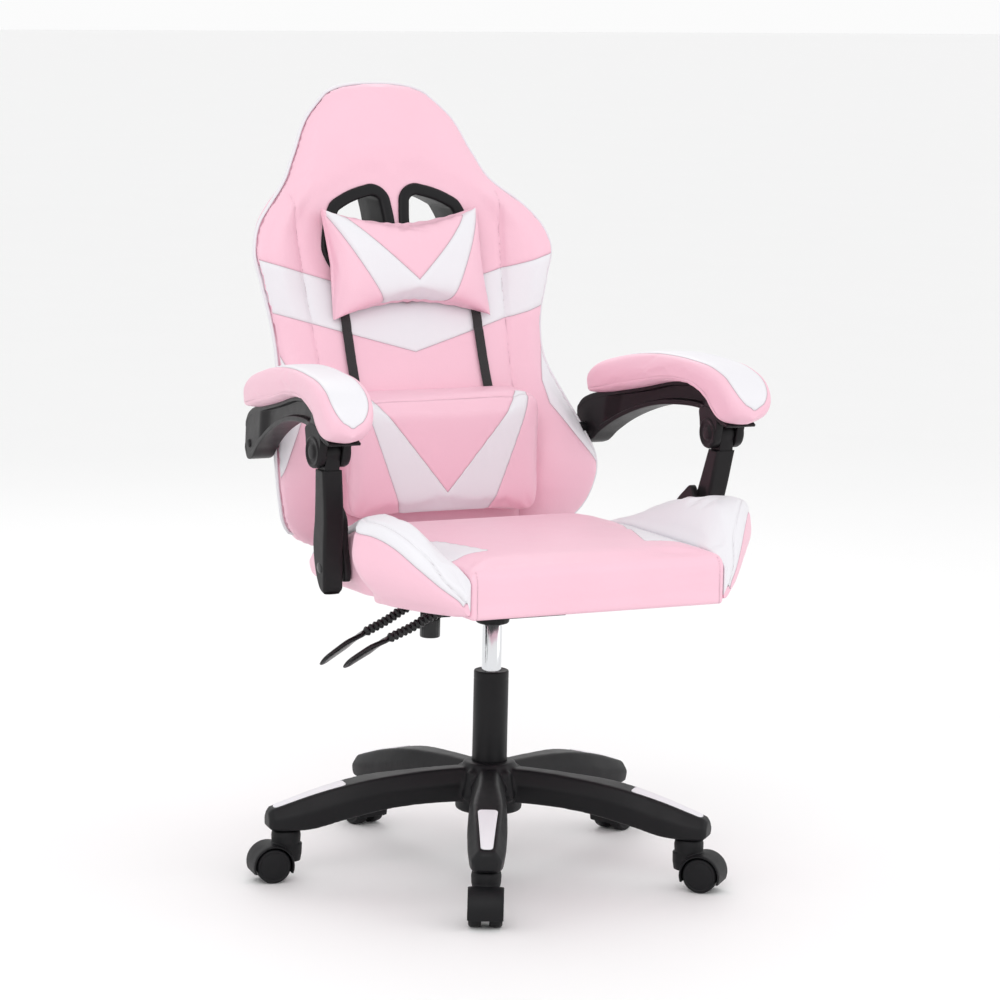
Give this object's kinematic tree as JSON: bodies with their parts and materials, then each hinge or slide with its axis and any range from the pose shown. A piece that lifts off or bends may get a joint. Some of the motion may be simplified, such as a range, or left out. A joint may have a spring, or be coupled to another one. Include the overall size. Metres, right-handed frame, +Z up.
{
  "type": "gaming chair",
  "caption": "Reclining office chair with side wings, head and lumbar pillows, linked armrests, gas lift, tilt mechanism and star base on twin-wheel casters.",
  "frame": {"origin": "floor level, under the centre of the chair's bounding box; the swivel axis is at X = 0, Y = -0.0610", "axes": "+Z up, the chair faces -Y, +X is the sitter's left"},
  "size_m": [0.6998, 0.7733, 1.102],
  "materials": {
    "pink_leather": "light pink synthetic leather, fine grain, satin",
    "white_leather": "white synthetic leather, satin",
    "pad_leather": "pink soft arm pad with a white top panel",
    "black_plastic": "moulded black nylon, fine grain",
    "white_plastic": "white moulded inserts, satin gloss",
    "wheel_plastic": "black nylon wheels",
    "painted_steel": "black powder coat",
    "chromed_steel": "bright chromed steel",
    "bare_steel": "plain steel",
    "webbing": "black woven elastic webbing"
  },
  "bodies": {
    "root": {"star_base": "black_plastic", "gas_tube": "painted_steel", "tube_bush": "black_plastic", "thrust_bearing": "bare_steel", "leg_trim_1": "white_plastic", "leg_trim_2": "white_plastic", "leg_trim_3": "white_plastic", "leg_trim_4": "white_plastic", "leg_trim_5": "white_plastic"},
    "swivel_rod": {"gas_rod": "chromed_steel"},
    "lift": {"gas_cylinder": "chromed_steel", "mechanism_housing": "black_plastic", "tilt_pin": "bare_steel", "tension_spring": "bare_steel"},
    "height_lever": {"height_lever": "black_plastic"},
    "recline_lever": {"recline_lever": "black_plastic"},
    "tension_knob": {"tension_knob": "black_plastic"},
    "seat": {"seat_plate": "painted_steel", "seat_frame": "painted_steel", "seat_cushion": "pink_leather", "seat_wing_left": "white_leather", "seat_wing_right": "white_leather", "arm_foot_left": "black_plastic", "arm_foot_right": "black_plastic"},
    "backrest": {"back_frame": "painted_steel", "back_cushion": "pink_leather", "back_panel": "pink_leather", "lumbar_pillow": "pink_leather", "head_pillow": "pink_leather", "head_band": "webbing", "hole_bezel_left": "black_plastic", "hole_bezel_right": "black_plastic", "lumbar_strap_left": "webbing", "lumbar_strap_right": "webbing", "rear_stud_left": "bare_steel", "rear_stud_right": "bare_steel"},
    "arm_post_left": {"arm_post_left": "black_plastic"},
    "arm_left": {"arm_beam_left": "black_plastic", "arm_pad_left": "pad_leather", "arm_pin_left": "bare_steel"},
    "arm_post_right": {"arm_post_right": "black_plastic"},
    "arm_right": {"arm_beam_right": "black_plastic", "arm_pad_right": "pad_leather", "arm_pin_right": "bare_steel"},
    "caster_1": {"caster_hood_1": "black_plastic"},
    "wheel_1a": {"caster_wheel_1a": "wheel_plastic"},
    "wheel_1b": {"caster_wheel_1b": "wheel_plastic"},
    "caster_2": {"caster_hood_2": "black_plastic"},
    "wheel_2a": {"caster_wheel_2a": "wheel_plastic"},
    "wheel_2b": {"caster_wheel_2b": "wheel_plastic"},
    "caster_3": {"caster_hood_3": "black_plastic"},
    "wheel_3a": {"caster_wheel_3a": "wheel_plastic"},
    "wheel_3b": {"caster_wheel_3b": "wheel_plastic"},
    "caster_4": {"caster_hood_4": "black_plastic"},
    "wheel_4a": {"caster_wheel_4a": "wheel_plastic"},
    "wheel_4b": {"caster_wheel_4b": "wheel_plastic"},
    "caster_5": {"caster_hood_5": "black_plastic"},
    "wheel_5a": {"caster_wheel_5a": "wheel_plastic"},
    "wheel_5b": {"caster_wheel_5b": "wheel_plastic"}
  },
  "joints": [
    {"name": "seat_swivel", "type": "hinge", "parent": "root", "child": "swivel_rod", "pos_m": [0, -0.061, 0.2], "axis": [0, 0, 1], "continuous": true},
    {"name": "seat_height", "type": "slide", "parent": "swivel_rod", "child": "lift", "axis": [0, 0, 1], "range_m": [-0.065, 0.015]},
    {"name": "seat_tilt", "type": "hinge", "parent": "lift", "child": "seat", "pos_m": [0, -0.136, 0.397], "axis": [-1, 0, 0], "range_deg": [0, 7]},
    {"name": "back_recline", "type": "hinge", "parent": "seat", "child": "backrest", "pos_m": [0, 0.124, 0.425], "axis": [-1, 0, 0], "range_deg": [0, 30]},
    {"name": "height_lever_lift", "type": "hinge", "parent": "lift", "child": "height_lever", "pos_m": [-0.0748, -0.096, 0.388], "axis": [0, 1, 0], "range_deg": [0, 6], "stiffness_Nm_per_rad": 2, "springref_deg": -6.88},
    {"name": "recline_lever_lift", "type": "hinge", "parent": "lift", "child": "recline_lever", "pos_m": [-0.0748, -0.017, 0.388], "axis": [0, 1, 0], "range_deg": [0, 6], "stiffness_Nm_per_rad": 2, "springref_deg": -6.88},
    {"name": "knob_turn", "type": "hinge", "parent": "lift", "child": "tension_knob", "pos_m": [-0.095, -0.053, 0.36], "axis": [0, 0, 1], "range_deg": [-360, 360]},
    {"name": "arm_post_fold_left", "type": "hinge", "parent": "seat", "child": "arm_post_left", "pos_m": [0.308, -0.136, 0.47], "axis": [-1, 0, 0], "range_deg": [0, 36]},
    {"name": "arm_fold_left", "type": "hinge", "parent": "arm_post_left", "child": "arm_left", "pos_m": [0.308, -0.164, 0.635], "axis": [-1, 0, 0], "range_deg": [-36, 0]},
    {"name": "arm_post_fold_right", "type": "hinge", "parent": "seat", "child": "arm_post_right", "pos_m": [-0.308, -0.136, 0.47], "axis": [-1, 0, 0], "range_deg": [0, 36]},
    {"name": "arm_fold_right", "type": "hinge", "parent": "arm_post_right", "child": "arm_right", "pos_m": [-0.308, -0.164, 0.635], "axis": [-1, 0, 0], "range_deg": [-36, 0]},
    {"name": "caster_swivel_1", "type": "hinge", "parent": "root", "child": "caster_1", "pos_m": [-0.1362, -0.3283, 0.08], "axis": [0, 0, 1], "continuous": true},
    {"name": "wheel_roll_1a", "type": "hinge", "parent": "caster_1", "child": "wheel_1a", "pos_m": [-0.13251, -0.35487, 0.025], "axis": [0.891, -0.454, 0], "continuous": true},
    {"name": "wheel_roll_1b", "type": "hinge", "parent": "caster_1", "child": "wheel_1b", "pos_m": [-0.15986, -0.34093, 0.025], "axis": [0.891, -0.454, 0], "continuous": true},
    {"name": "caster_swivel_2", "type": "hinge", "parent": "root", "child": "caster_2", "pos_m": [0.21213, -0.27313, 0.08], "axis": [0, 0, 1], "continuous": true},
    {"name": "wheel_roll_2a", "type": "hinge", "parent": "caster_2", "child": "wheel_2a", "pos_m": [0.23854, -0.27783, 0.025], "axis": [0.7071, 0.7071, 0], "continuous": true},
    {"name": "wheel_roll_2b", "type": "hinge", "parent": "caster_2", "child": "wheel_2b", "pos_m": [0.21683, -0.29954, 0.025], "axis": [0.7071, 0.7071, 0], "continuous": true},
    {"name": "caster_swivel_3", "type": "hinge", "parent": "root", "child": "caster_3", "pos_m": [0.2673, 0.0752, 0.08], "axis": [0, 0, 1], "continuous": true},
    {"name": "wheel_roll_3a", "type": "hinge", "parent": "caster_3", "child": "wheel_3a", "pos_m": [0.27993, 0.09886, 0.025], "axis": [-0.454, 0.891, 0], "continuous": true},
    {"name": "wheel_roll_3b", "type": "hinge", "parent": "caster_3", "child": "wheel_3b", "pos_m": [0.29387, 0.07151, 0.025], "axis": [-0.454, 0.891, 0], "continuous": true},
    {"name": "caster_swivel_4", "type": "hinge", "parent": "root", "child": "caster_4", "pos_m": [-0.04693, 0.23531, 0.08], "axis": [0, 0, 1], "continuous": true},
    {"name": "wheel_roll_4a", "type": "hinge", "parent": "caster_4", "child": "wheel_4a", "pos_m": [-0.06553, 0.25463, 0.025], "axis": [-0.9877, -0.1564, 0], "continuous": true},
    {"name": "wheel_roll_4b", "type": "hinge", "parent": "caster_4", "child": "wheel_4b", "pos_m": [-0.03521, 0.25944, 0.025], "axis": [-0.9877, -0.1564, 0], "continuous": true},
    {"name": "caster_swivel_5", "type": "hinge", "parent": "root", "child": "caster_5", "pos_m": [-0.29631, -0.01407, 0.08], "axis": [0, 0, 1], "continuous": true},
    {"name": "wheel_roll_5a", "type": "hinge", "parent": "caster_5", "child": "wheel_5a", "pos_m": [-0.32044, -0.02579, 0.025], "axis": [-0.1564, -0.9877, 0], "continuous": true},
    {"name": "wheel_roll_5b", "type": "hinge", "parent": "caster_5", "child": "wheel_5b", "pos_m": [-0.31563, 0.00453, 0.025], "axis": [-0.1564, -0.9877, 0], "continuous": true}
  ],
  "couplings": [
    {"joint": "arm_post_fold_left", "follows": "back_recline", "ratio": 1.04},
    {"joint": "arm_fold_left", "follows": "back_recline", "ratio": -0.86},
    {"joint": "arm_post_fold_right", "follows": "back_recline", "ratio": 1.04},
    {"joint": "arm_fold_right", "follows": "back_recline", "ratio": -0.86}
  ]
}
